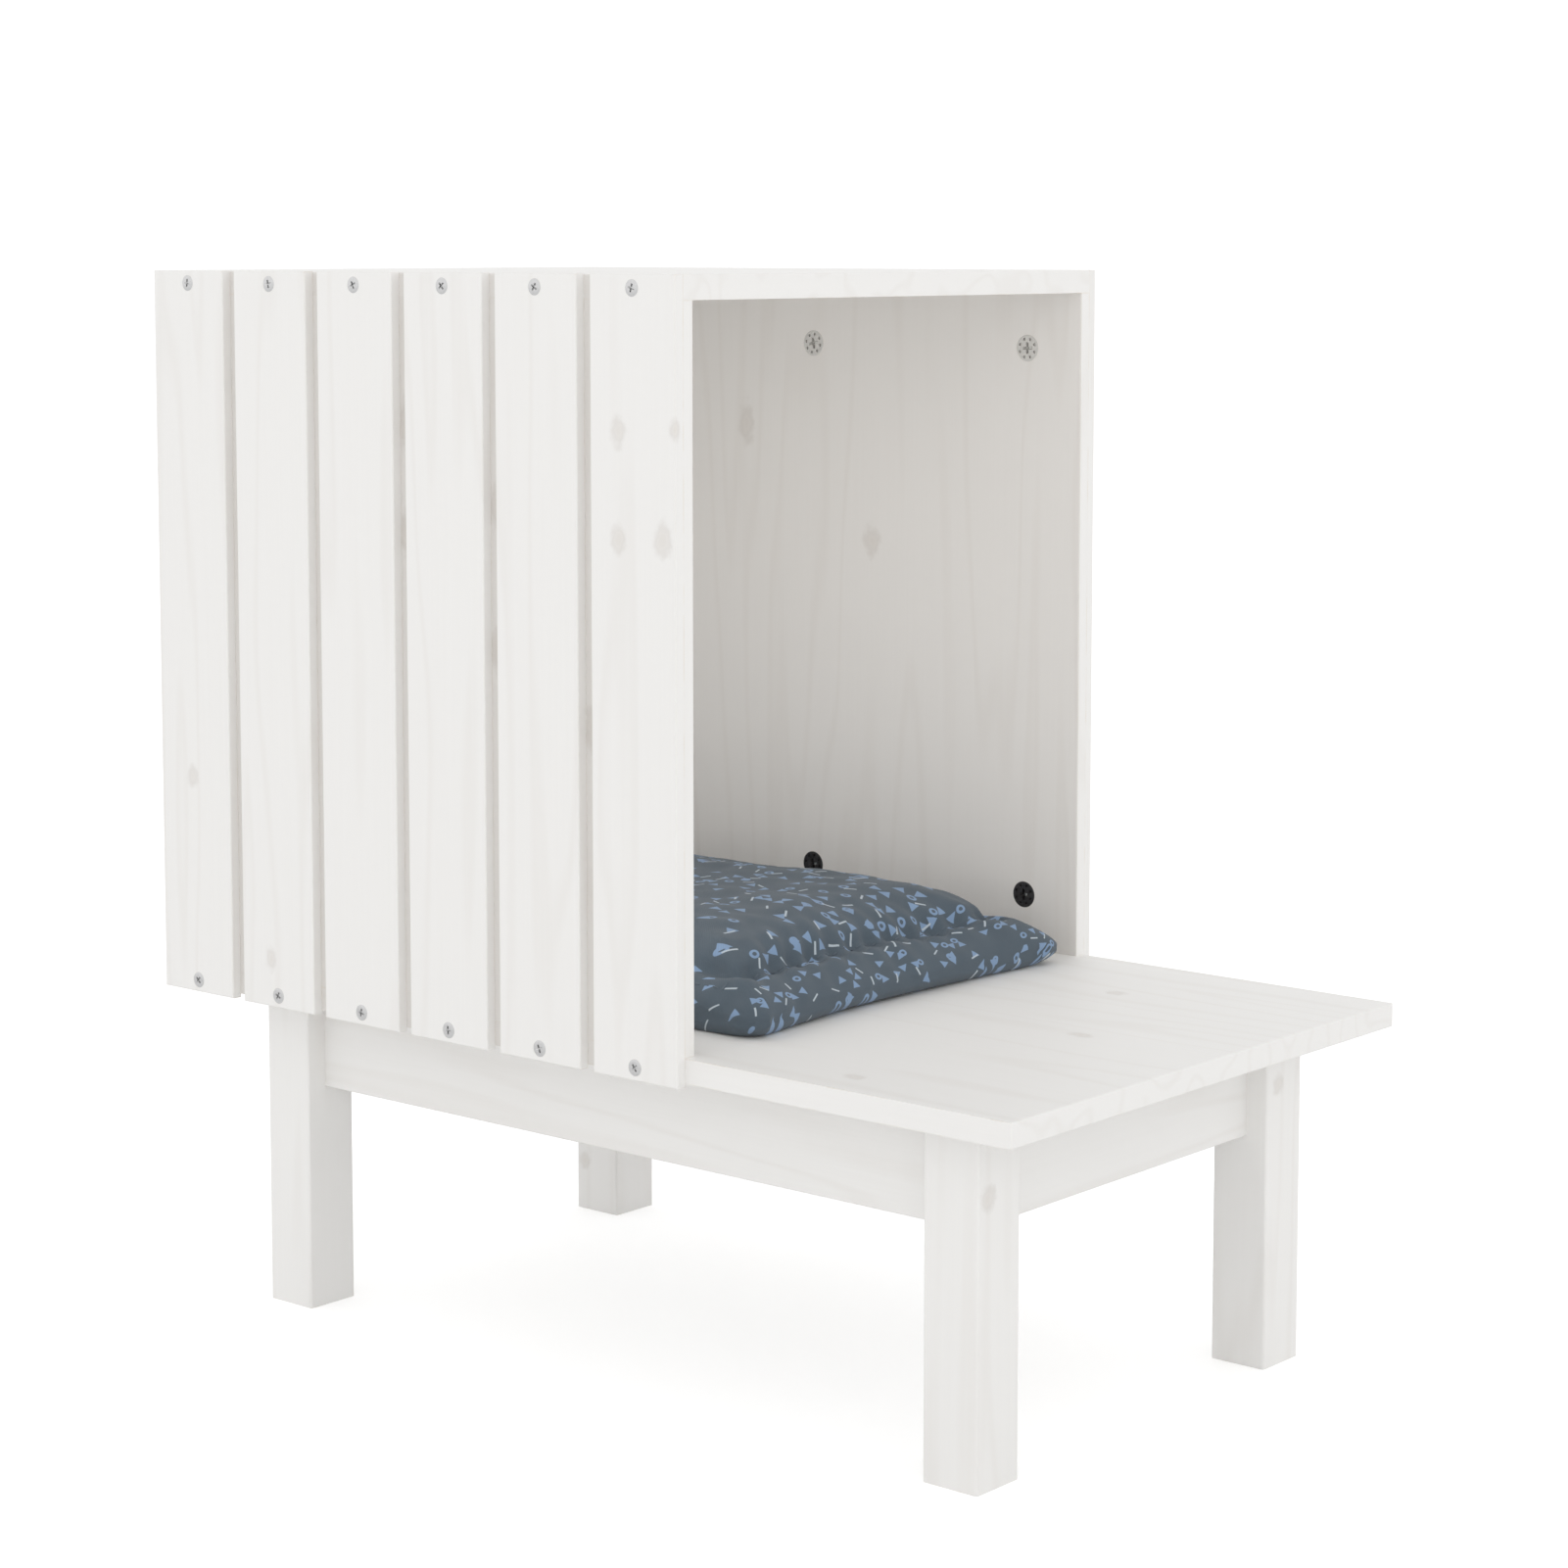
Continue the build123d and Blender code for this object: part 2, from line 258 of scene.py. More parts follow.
class Effects:
    """The node groups that more than one material uses."""

    def __init__(self) -> None:
        """Builds each group once."""
        self.grain = self._grain()
        self.knot = self._knot()
        self.edge = self._edge()
        self.weave = self._weave()
        self.scuff = self._scuff()

    @staticmethod
    def _grain() -> bpy.types.NodeTree:
        """Pine grain along Z: fine fibres and broad growth rings."""
        group, n, source, sink = new_group(
            "pine_grain",
            {"Vector": "Vector", "Seed": "Float"},
            {"Fibre": "Float", "Rings": "Float", "Height": "Float"},
        )
        seed = n.vector("SCALE", (3.1, 1.7, 2.3))
        n.join(source.outputs["Seed"], seed.node.inputs["Scale"])
        place = n.vector("ADD", source.outputs["Vector"], seed)
        fibre = n.noise(n.vector("MULTIPLY", place, (620.0, 620.0, 9.0)), 3.0, 0.6)
        broad = n.noise(n.vector("MULTIPLY", place, (17.0, 17.0, 1.5)), 2.0, 0.45)
        bands = n.math("PINGPONG", n.math("MULTIPLY", broad, 15.0), 1.0)
        rings = n.ramp(bands, 0.55, 1.0)
        height = n.math("ADD", n.math("MULTIPLY", fibre, 0.6), n.math("MULTIPLY", rings, 0.4))
        for label, value in (("Fibre", fibre), ("Rings", rings), ("Height", height)):
            n.join(value, sink.inputs[label])
        return group

    @staticmethod
    def _knot() -> bpy.types.NodeTree:
        """One knot: a pale core and a darker rim, longer along the grain."""
        group, n, source, sink = new_group(
            "pine_knot",
            {"Vector": "Vector", "Centre": "Vector", "Radius": "Float", "Squash": "Vector"},
            {"Core": "Float", "Rim": "Float"},
        )
        away = n.vector("SUBTRACT", source.outputs["Vector"], source.outputs["Centre"])
        away = n.vector("MULTIPLY", away, source.outputs["Squash"])
        wobble = n.noise(n.vector("SCALE", source.outputs["Vector"], (0, 0, 0), (0, 0, 0), 170.0), 3.0)
        distance = n.math("DIVIDE", n.vector("LENGTH", away), source.outputs["Radius"])
        distance = n.math("ADD", distance, n.math("MULTIPLY", n.math("SUBTRACT", wobble, 0.5), 1.6))
        core = n.ramp(distance, 1.25, 0.1)
        rim = n.math("MULTIPLY", n.ramp(distance, 0.35, 0.85), n.ramp(distance, 1.7, 0.9))
        n.join(core, sink.inputs["Core"])
        n.join(rim, sink.inputs["Rim"])
        return group

    @staticmethod
    def _edge() -> bpy.types.NodeTree:
        """A mask that is 1 on worn edges, from the angle between true and rounded normals."""
        group, n, source, sink = new_group("edge_wear", {"Amount": "Float"}, {"Mask": "Float"})
        bevel = group.nodes.new("ShaderNodeBevel")
        bevel.samples = 4
        bevel.inputs["Radius"].default_value = 0.0012
        shape = group.nodes.new("ShaderNodeNewGeometry")
        facing = n.vector("DOT_PRODUCT", bevel.outputs["Normal"], shape.outputs["Normal"])
        worn = n.ramp(facing, 0.995, 0.86)
        patchy = n.noise(n.vector("SCALE", shape.outputs["Position"], (0, 0, 0), (0, 0, 0), 90.0), 2.0)
        mask = n.math("MULTIPLY", worn, n.ramp(patchy, 0.35, 0.7))
        n.join(n.math("MULTIPLY", mask, source.outputs["Amount"]), sink.inputs["Mask"])
        return group

    @staticmethod
    def _weave() -> bpy.types.NodeTree:
        """A plain weave: threads over and under."""
        group, n, source, sink = new_group(
            "plain_weave", {"Across": "Float", "Along": "Float", "Pitch": "Float"}, {"Height": "Float"}
        )
        turns = n.math("DIVIDE", math.tau, source.outputs["Pitch"])
        warp = n.math("SINE", n.math("MULTIPLY", source.outputs["Across"], turns))
        weft = n.math("SINE", n.math("MULTIPLY", source.outputs["Along"], turns))
        height = n.math("MULTIPLY_ADD", n.math("MULTIPLY", warp, weft), 0.5, 0.5)
        n.join(height, sink.inputs["Height"])
        return group

    @staticmethod
    def _scuff() -> bpy.types.NodeTree:
        """Uneven dullness, as of handled metal or cloth."""
        group, n, source, sink = new_group(
            "scuffs", {"Vector": "Vector", "Low": "Float", "High": "Float"}, {"Value": "Float"}
        )
        uneven = n.noise(n.vector("SCALE", source.outputs["Vector"], (0, 0, 0), (0, 0, 0), 900.0), 3.0)
        span = n.math("SUBTRACT", source.outputs["High"], source.outputs["Low"])
        n.join(n.math("MULTIPLY_ADD", uneven, span, source.outputs["Low"]), sink.inputs["Value"])
        return group


def new_material(name: str) -> tuple[bpy.types.Material, Nodes, bpy.types.Node, bpy.types.NodeSocket]:
    """Makes a material with a Principled shader.

    Args:
        name: the material's name.

    Returns:
        The material, its Nodes helper, its shader and the object coordinates.
    """
    material = bpy.data.materials.new(name)
    material.use_nodes = True
    nodes = Nodes(material.node_tree)
    shader = material.node_tree.nodes["Principled BSDF"]
    coordinates = material.node_tree.nodes.new("ShaderNodeTexCoord")
    return material, nodes, shader, coordinates.outputs["Object"]


def add_bump(n: Nodes, shader: bpy.types.Node, height: object, depth: float, strength: float) -> None:
    """Feeds the shader's normal from a height.

    Args:
        n: the material's helper.
        shader: its Principled shader.
        height: the height, from 0 to 1.
        depth: the height of 1 in metres.
        strength: how much of it shows.
    """
    bump = n.tree.nodes.new("ShaderNodeBump")
    bump.inputs["Strength"].default_value = strength
    bump.inputs["Distance"].default_value = depth
    n.feed(bump.inputs["Height"], height)
    n.join(bump.outputs["Normal"], shader.inputs["Normal"])


@dataclass(frozen=True)
class Knot:
    """One knot on a board's face, at its place on the object in metres."""

    centre: Point
    radius: float
    stretch: float = 1.5


@dataclass(frozen=True)
class GlazedPine:
    """Pine under a thin white glaze, with the grain just showing."""

    pale: Colour = linear(242, 241, 239)
    grain: Colour = linear(237, 235, 232)
    knot: Colour = linear(221, 216, 210)
    rim: Colour = linear(198, 191, 184)
    bare: Colour = linear(222, 210, 190)
    rough: float = 0.52
    # Painted shade: how far the colour is darkened where boards sit behind the slats or inside the cabin, a little
    # warmer there.
    painted_shade_factor: float = 0.875
    margin: float = 0.0002

    def _painted_shade_mask(self, n: Nodes, place: object, painted_shade_zone: PaintedShadeZone) -> bpy.types.NodeSocket:
        """A mask that is 1 where a board's colour gets painted shade.

        Args:
            n: the material's helper.
            place: the object coordinates.
            painted_shade_zone: where the board gets painted shade.

        Returns:
            The mask.
        """
        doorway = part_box("side_panel_left")[0][1]
        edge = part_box("top_panel")[1][0]
        axes = n.tree.nodes.new("ShaderNodeSeparateXYZ")
        n.join(place, axes.inputs[0])
        behind = n.math("GREATER_THAN", axes.outputs[1], doorway + self.margin)
        if painted_shade_zone is PaintedShadeZone.BEHIND_SLATS:
            return behind
        outer = n.math("GREATER_THAN", n.math("ABSOLUTE", axes.outputs[0]), edge - self.margin)
        return n.math("MULTIPLY", behind, outer)

    def material(
        self,
        name: str,
        effects: Effects,
        axis: GrainAxis,
        seed: float,
        knots: list[Knot],
        painted_shade_zone: PaintedShadeZone,
    ) -> bpy.types.Material:
        """Makes one board's material.

        Args:
            name: the board's name.
            effects: the shared node groups.
            axis: the way its grain runs.
            seed: sets its grain apart from the other boards'.
            knots: its knots.
            painted_shade_zone: where it gets painted shade.

        Returns:
            The material.
        """
        material, n, shader, place = new_material(f"{name}_pine")
        turned = n.tree.nodes.new("ShaderNodeMapping")
        turned.inputs["Rotation"].default_value = {
            GrainAxis.UP: (0.0, 0.0, 0.0),
            GrainAxis.DEEP: (math.pi / 2, 0.0, 0.0),
            GrainAxis.ACROSS: (0.0, math.pi / 2, 0.0),
        }[axis]
        n.join(place, turned.inputs["Vector"])
        grain = n.place(effects.grain, Vector=turned.outputs["Vector"], Seed=seed)
        rings = n.math("MULTIPLY", grain.outputs["Rings"], 0.55)
        amount = n.math("MULTIPLY_ADD", grain.outputs["Fibre"], 0.45, rings, clamp=True)
        colour = n.mix(amount, self.pale, self.grain)
        for knot in knots:
            colour = self._with_knot(n, effects, place, axis, knot, colour)
        # Painted shade: darkens the colour where the mask is 1, in place of the shade that falls behind the slats and
        # inside the cabin.
        if painted_shade_zone is not PaintedShadeZone.NOWHERE:
            shade = n.vector("MULTIPLY", colour, (self.painted_shade_factor, self.painted_shade_factor * 0.98, self.painted_shade_factor * 0.96))
            colour = n.mix(self._painted_shade_mask(n, place, painted_shade_zone), colour, shade)
        worn = n.place(effects.edge, Amount=0.5)
        colour = n.mix(worn.outputs["Mask"], colour, self.bare)
        n.join(colour, shader.inputs["Base Color"])
        n.join(n.math("MULTIPLY_ADD", grain.outputs["Fibre"], 0.16, self.rough - 0.08), shader.inputs["Roughness"])
        add_bump(n, shader, grain.outputs["Height"], 0.0003, 0.3)
        return material

    def _with_knot(
        self, n: Nodes, effects: Effects, place: object, axis: GrainAxis, knot: Knot, colour: object
    ) -> bpy.types.NodeSocket:
        """Lays one knot over a board's colour.

        Args:
            n: the material's helper.
            effects: the shared node groups.
            place: the object coordinates.
            axis: the way the grain runs.
            knot: the knot.
            colour: the colour so far.

        Returns:
            The colour with the knot.
        """
        shrink = 1 / knot.stretch
        squash = {
            GrainAxis.UP: (1.0, 1.0, shrink),
            GrainAxis.DEEP: (1.0, shrink, 1.0),
            GrainAxis.ACROSS: (shrink, 1.0, 1.0),
        }[axis]
        mark = n.place(
            effects.knot, Vector=place, Centre=knot.centre, Radius=knot.radius, Squash=squash
        )
        colour = n.mix(n.math("MULTIPLY", mark.outputs["Core"], 0.6), colour, self.knot)
        return n.mix(n.math("MULTIPLY", mark.outputs["Rim"], 0.22), colour, self.rim)


@dataclass(frozen=True)
class PlatedMetal:
    """Zinc-plated steel or a die-cast lock."""

    name: str
    colour: Colour
    rough: float
    metallic: float = 1.0

    def material(self, effects: Effects) -> bpy.types.Material:
        """Makes the metal.

        Args:
            effects: the shared node groups.

        Returns:
            The material.
        """
        material, n, shader, place = new_material(self.name)
        dull = n.place(effects.scuff, Vector=place, Low=0.86, High=1.08)
        shade = n.vector("SCALE", self.colour)
        n.join(dull.outputs["Value"], shade.node.inputs["Scale"])
        n.join(shade, shader.inputs["Base Color"])
        shader.inputs["Metallic"].default_value = self.metallic
        rough = n.place(effects.scuff, Vector=place, Low=self.rough - 0.1, High=self.rough + 0.15)
        n.join(rough.outputs["Value"], shader.inputs["Roughness"])
        add_bump(n, shader, dull.outputs["Value"], 0.00008, 0.3)
        return material


@dataclass(frozen=True)
class PrintedCotton:
    """Slate cotton with a small scattered print of rings, triangles and dashes."""

    ground: Colour = linear(78, 90, 100)
    pale: Colour = linear(132, 158, 190)
    thread: Colour = linear(190, 200, 208)
    cell: float = 0.0132
    weave_pitch: float = 0.0011

    def _motif(self, n: Nodes, across: object, along: object, motif: PadMotif, shift: float) -> object:
        """A mask of one motif, scattered and turned at random.

        Args:
            n: the material's helper.
            across: the cloth's first coordinate in metres.
            along: its second coordinate.
            motif: which shape.
            shift: sets its scatter apart from the others'.

        Returns:
            The mask.
        """
        combine = n.tree.nodes.new("ShaderNodeCombineXYZ")
        n.feed(combine.inputs[0], n.math("MULTIPLY_ADD", across, 1 / self.cell, shift))
        n.feed(combine.inputs[1], n.math("MULTIPLY_ADD", along, 1 / self.cell, -shift))
        cells = n.tree.nodes.new("ShaderNodeTexVoronoi")
        cells.voronoi_dimensions = "2D"
        cells.inputs["Scale"].default_value = 1.0
        cells.inputs["Randomness"].default_value = 0.75
        n.join(combine.outputs[0], cells.inputs["Vector"])
        apart = n.tree.nodes.new("ShaderNodeSeparateColor")
        n.join(cells.outputs["Color"], apart.inputs[0])
        local = n.vector("SUBTRACT", combine.outputs[0], cells.outputs["Position"])
        spin = n.tree.nodes.new("ShaderNodeVectorRotate")
        spin.rotation_type = "Z_AXIS"
        n.join(local, spin.inputs["Vector"])
        n.join(n.math("MULTIPLY", apart.outputs[0], math.tau), spin.inputs["Angle"])
        axes = n.tree.nodes.new("ShaderNodeSeparateXYZ")
        n.join(spin.outputs[0], axes.inputs[0])
        x, y = axes.outputs[0], axes.outputs[1]
        length = n.vector("LENGTH", local)
        if motif is PadMotif.RING:
            ring = n.math("ABSOLUTE", n.math("SUBTRACT", length, 0.15))
            shape = n.ramp(ring, 0.07, 0.045)
        elif motif is PadMotif.DASH:
            thin = n.ramp(n.math("ABSOLUTE", y), 0.055, 0.03)
            shape = n.math("MULTIPLY", thin, n.ramp(n.math("ABSOLUTE", x), 0.26, 0.23))
        else:
            slope = n.math("MULTIPLY_ADD", n.math("ABSOLUTE", x), 1.5, y)
            shape = n.math("MULTIPLY", n.ramp(slope, 0.27, 0.23), n.ramp(y, -0.17, -0.14))
        chosen = n.math("GREATER_THAN", apart.outputs[1], 0.62)
        return n.math("MULTIPLY", shape, chosen)

    @staticmethod
    def _cloth_place(n: Nodes, place: object, middle: Vector, half: Vector, edge: float) -> tuple:
        """The place on the flat cloth: it runs outwards as the pad's surface drops.

        Args:
            n: the material's helper.
            place: the object coordinates.
            middle: the pad's middle.
            half: half of its size.
            edge: the height from which the drop counts.

        Returns:
            The coordinates across and along the cloth.
        """
        flat = n.vector("MULTIPLY", n.vector("SUBTRACT", place, tuple(middle)), (1.0, 1.0, 0.0))
        share = n.vector("DIVIDE", flat, (half.x, half.y, 1.0))
        size = n.vector("ABSOLUTE", share)
        square = n.vector("MULTIPLY", size, size)
        out = n.vector("NORMALIZE", n.vector("MULTIPLY", n.vector("MULTIPLY", square, square), share))
        height = n.tree.nodes.new("ShaderNodeSeparateXYZ")
        n.join(place, height.inputs[0])
        drop = n.math("SUBTRACT", edge, height.outputs[2])
        fade = n.math("MULTIPLY", n.vector("DOT_PRODUCT", square, square), 1.6, clamp=True)
        step = n.vector("SCALE", out)
        n.join(n.math("MULTIPLY", drop, fade), step.node.inputs["Scale"])
        axes = n.tree.nodes.new("ShaderNodeSeparateXYZ")
        n.join(n.vector("ADD", flat, step), axes.inputs[0])
        return axes.outputs[0], axes.outputs[1]

    def material(self, effects: Effects, middle: Vector, half: Vector) -> bpy.types.Material:
        """Makes the cloth.

        Args:
            effects: the shared node groups.
            middle: the pad's middle.
            half: half of the pad's size.

        Returns:
            The material.
        """
        material, n, shader, place = new_material("printed_cotton")
        across, along = self._cloth_place(n, place, middle, half, middle.z)
        colour = n.mix(n.noise(n.vector("SCALE", place, (0, 0, 0), (0, 0, 0), 60.0)), self.ground,
                       tuple(c * 1.18 for c in self.ground))
        layers = (
            (PadMotif.TRIANGLE, 0.0, self.pale),
            (PadMotif.RING, 17.3, self.pale),
            (PadMotif.DASH, 41.9, self.thread),
            (PadMotif.TRIANGLE, 88.4, self.pale),
        )
        for motif, shift, ink in layers:
            colour = n.mix(self._motif(n, across, along, motif, shift), colour, ink)
        weave = n.place(effects.weave, Across=across, Along=along, Pitch=self.weave_pitch)
        colour = n.mix(n.math("MULTIPLY", weave.outputs["Height"], 0.16), colour, tuple(c * 0.6 for c in self.ground))
        n.join(colour, shader.inputs["Base Color"])
        dull = n.place(effects.scuff, Vector=place, Low=0.82, High=0.95)
        n.join(dull.outputs["Value"], shader.inputs["Roughness"])
        shader.inputs["Sheen Weight"].default_value = 0.12
        add_bump(n, shader, weave.outputs["Height"], 0.00025, 0.5)
        return material


def finished_object(name: str, mesh: bpy.types.Mesh, materials: list[bpy.types.Material]) -> bpy.types.Object:
    """Puts a mesh in the scene.

    Args:
        name: the piece's name.
        mesh: its mesh.
        materials: its materials in slot order.

    Returns:
        The new object.
    """
    piece = bpy.data.objects.new(name, mesh)
    bpy.context.scene.collection.objects.link(piece)
    if mesh.materials:
        mesh.materials.clear()
    for material in materials:
        mesh.materials.append(material)
    return piece


def lathe(shape: bmesh.types.BMesh, profile: list[tuple[float, float]], segments: int) -> None:
    """Turns a (radius, height) outline about Z. Its first and last radii are 0.

    Args:
        shape: where the faces are added.
        profile: the outline from the top down.
        segments: how many steps go round.
    """
    rings = []
    for radius, height in profile:
        if radius == 0:
            rings.append([shape.verts.new((0, 0, height))])
            continue
        angles = [math.tau * step / segments for step in range(segments)]
        rings.append([shape.verts.new((radius * math.cos(a), radius * math.sin(a), height)) for a in angles])
    for upper, lower in zip(rings, rings[1:]):
        for step in range(segments):
            after = (step + 1) % segments
            corners = [upper[step % len(upper)], lower[step % len(lower)]]
            if len(lower) > 1:
                corners.append(lower[after])
            if len(upper) > 1:
                corners.append(upper[after])
            shape.faces.new(corners)


def carved(profile: list[tuple[float, float]], cutters: list[bmesh.types.BMesh], name: str) -> bpy.types.Mesh:
    """Turns a body and cuts recesses in it.

    Args:
        profile: the body's (radius, height) outline from the top down.
        cutters: closed shapes to cut away.
        name: the mesh's name.

    Returns:
        The cut mesh.
    """
    body = bmesh.new()
    lathe(body, profile, 48)
    bmesh.ops.recalc_face_normals(body, faces=body.faces)
    mesh = bpy.data.meshes.new(name)
    body.to_mesh(mesh)
    body.free()
    blank = finished_object(name, mesh, [])
    tools = []
    for cutter in cutters:
        bmesh.ops.recalc_face_normals(cutter, faces=cutter.faces)
        tool_mesh = bpy.data.meshes.new(f"{name}_tool")
        cutter.to_mesh(tool_mesh)
        cutter.free()
        tool = finished_object(f"{name}_tool", tool_mesh, [])
        tools.append(tool)
        cut = blank.modifiers.new("cut", "BOOLEAN")
        cut.operation, cut.solver, cut.object = "DIFFERENCE", "EXACT", tool
    result = bpy.data.meshes.new_from_object(blank.evaluated_get(bpy.context.evaluated_depsgraph_get()))
    for spare in [blank, *tools]:
        bpy.data.objects.remove(spare, do_unlink=True)
    return result


def slot_cutter(length: float, width: float, depth: float, top: float, turn: float) -> bmesh.types.BMesh:
    """One bar of a cross recess, narrower at its floor.

    Args:
        length: from end to end at the top.
        width: across the bar.
        depth: below the top.
        top: the height of the face that it cuts.
        turn: its angle about Z.

    Returns:
        The closed shape.
    """
    shape = bmesh.new()
    bmesh.ops.create_cube(shape, size=1.0)
    over = depth * 0.3
    for vert in shape.verts:
        taper = 1.0 if vert.co.z > 0 else 0.62
        height = top + over if vert.co.z > 0 else top - depth
        vert.co = Vector((vert.co.x * length * taper, vert.co.y * width * taper, height))
    bmesh.ops.rotate(shape, verts=shape.verts, matrix=Matrix.Rotation(turn, 3, "Z"))
    return shape


def hole_cutter(radius: float, depth: float, top: float, place: tuple[float, float]) -> bmesh.types.BMesh:
    """A small round hole.

    Args:
        radius: the hole's radius.
        depth: below the top.
        top: the height of the face that it cuts.
        place: its centre.

    Returns:
        The closed shape.
    """
    shape = bmesh.new()
    lathe(shape, [(0, top + depth), (radius, top + depth), (radius, top - depth), (0, top - depth)], 16)
    bmesh.ops.translate(shape, verts=shape.verts, vec=(place[0], place[1], 0))
    return shape


def repeated(name: str, mesh: bpy.types.Mesh, places: list[tuple[Matrix, int]]) -> bpy.types.Mesh:
    """Copies a mesh to many places in one mesh.

    Args:
        name: the new mesh's name.
        mesh: what is copied.
        places: each copy's matrix and its material slot.

    Returns:
        The joined mesh.
    """
    joined = bmesh.new()
    for matrix, slot in places:
        first = len(joined.faces)
        copy = mesh.copy()
        copy.transform(matrix)
        joined.from_mesh(copy)
        joined.faces.ensure_lookup_table()
        for face in joined.faces[first:]:
            face.material_index = slot
        bpy.data.meshes.remove(copy)
    result = bpy.data.meshes.new(name)
    joined.to_mesh(result)
    joined.free()
    return result


def facing(place: Vector, side: int) -> Matrix:
    """A frame at place whose Z looks along X, to the side given, and whose X looks up.

    Args:
        place: the origin.
        side: -1 or 1.

    Returns:
        The matrix.
    """
    out = Vector((side, 0, 0))
    up = Vector((0, 0, 1))
    rotation = Matrix((up, out.cross(up), out)).transposed().to_4x4()
    return Matrix.Translation(place) @ rotation


@dataclass
class SlatScrews:
    """The countersunk cross-recess screws through one wall's slats."""

    side: str
    head_radius: float = 0.0044
    head_height: float = 0.0028
    shank_radius: float = 0.00175
    length: float = 0.028
    end_distance: float = 0.007
    proud: float = 0.00045
    recess_length: float = 0.0050
    recess_width: float = 0.0012
    recess_depth: float = 0.0012

    def mesh(self) -> bpy.types.Mesh:
        """Builds one screw with its head's face at height 0."""
        profile = [
            (0, self.proud),
            (self.head_radius * 0.45, self.proud),
            (self.head_radius * 0.75, self.proud * 0.72),
            (self.head_radius * 0.94, self.proud * 0.25),
            (self.head_radius, 0.00002),
            (self.shank_radius, -self.head_height),
            (self.shank_radius, self.shank_radius * 2 - self.length),
            (0, -self.length),
        ]
        bars = [
            slot_cutter(self.recess_length, self.recess_width, self.recess_depth, self.proud, turn)
            for turn in (0, math.pi / 2)
        ]
        return carved(profile, bars, "slat_screw")

    def build(self, material: bpy.types.Material) -> bpy.types.Object:
        """Seats the screws in the slats in place of the CAD node, which it hides.

        Args:
            material: the screws' metal.

        Returns:
            The piece.
        """
        side = SIDES[self.side]
        places = []
        for index in range(SLATS_PER_SIDE):
            low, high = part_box(f"slat_{self.side}_{index + 1}")
            x = high[0] if side > 0 else low[0]
            middle = (low[1] + high[1]) / 2
            for height in (low[2] + self.end_distance, high[2] - self.end_distance):
                turn = Matrix.Rotation(math.radians(37 * (len(places) + 1)), 4, "Z")
                places.append((facing(Vector((x, middle, height)), side) @ turn, 0))
        mesh = repeated(f"screws_{self.side}", self.mesh(), places)
        piece = finished_object(f"screws_{self.side}", mesh, [material])
        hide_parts(f"slat_screws_{self.side}")
        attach(piece, HOUSE)
        log.info("screws_%s: %d screws", self.side, len(places))
        return piece


@dataclass
class WallCams:
    """The cam locks in the inner face of one side panel."""

    side: str
    radius: float = 0.0077
    depth: float = 0.006
    proud: float = 0.00018
    edge_distance: float = 0.032
    corner_distance: float = 0.038
    per_edge: int = 3
    recess_length: float = 0.0075
    recess_width: float = 0.0019
    recess_depth: float = 0.0022
    hole_radius: float = 0.0009
    hole_circle: float = 0.0055
    holes: int = 8

    def mesh(self) -> bpy.types.Mesh:
        """Builds one cam with its face at height 0."""
        rim = self.radius - 0.0004
        profile = [
            (0, self.proud),
            (rim, self.proud),
            (self.radius, 0),
            (self.radius * 0.97, -self.depth),
            (0, -self.depth),
        ]
        cutters = [
            slot_cutter(self.recess_length, self.recess_width, self.recess_depth, self.proud, turn)
            for turn in (0, math.pi / 2)
        ]
        for step in range(self.holes):
            angle = math.tau * (step + 0.5) / self.holes
            place = (self.hole_circle * math.cos(angle), self.hole_circle * math.sin(angle))
            cutters.append(hole_cutter(self.hole_radius, self.recess_depth * 0.5, self.proud, place))
        return carved(profile, cutters, "wall_cam")

    def build(self, upper: bpy.types.Material, lower: bpy.types.Material) -> bpy.types.Object:
        """Seats the cams in the panel in place of the CAD node, which it hides.

        Args:
            upper: the upper row's finish, the same metal made pale as a painted reflection.
            lower: the lower row's finish, the same metal made dark as a painted reflection.

        Returns:
            The piece.
        """
        side = SIDES[self.side]
        low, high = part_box(f"side_panel_{self.side}")
        inner = low[0] if side > 0 else high[0]
        first = low[1] + self.corner_distance
        step = (high[1] - low[1] - 2 * self.corner_distance) / (self.per_edge - 1)
        places = []
        for index in range(self.per_edge):
            for slot, height in enumerate((high[2] - self.edge_distance, low[2] + self.edge_distance)):
                place = Vector((inner, first + index * step, height))
                turn = Matrix.Rotation(math.radians(11 * index), 4, "Z")
                places.append((facing(place, -side) @ turn, slot))
        mesh = repeated(f"cams_{self.side}", self.mesh(), places)
        piece = finished_object(f"cams_{self.side}", mesh, [upper, lower])
        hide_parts(f"wall_cams_{self.side}")
        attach(piece, HOUSE)
        log.info("cams_%s: %d cams", self.side, len(places))
        return piece


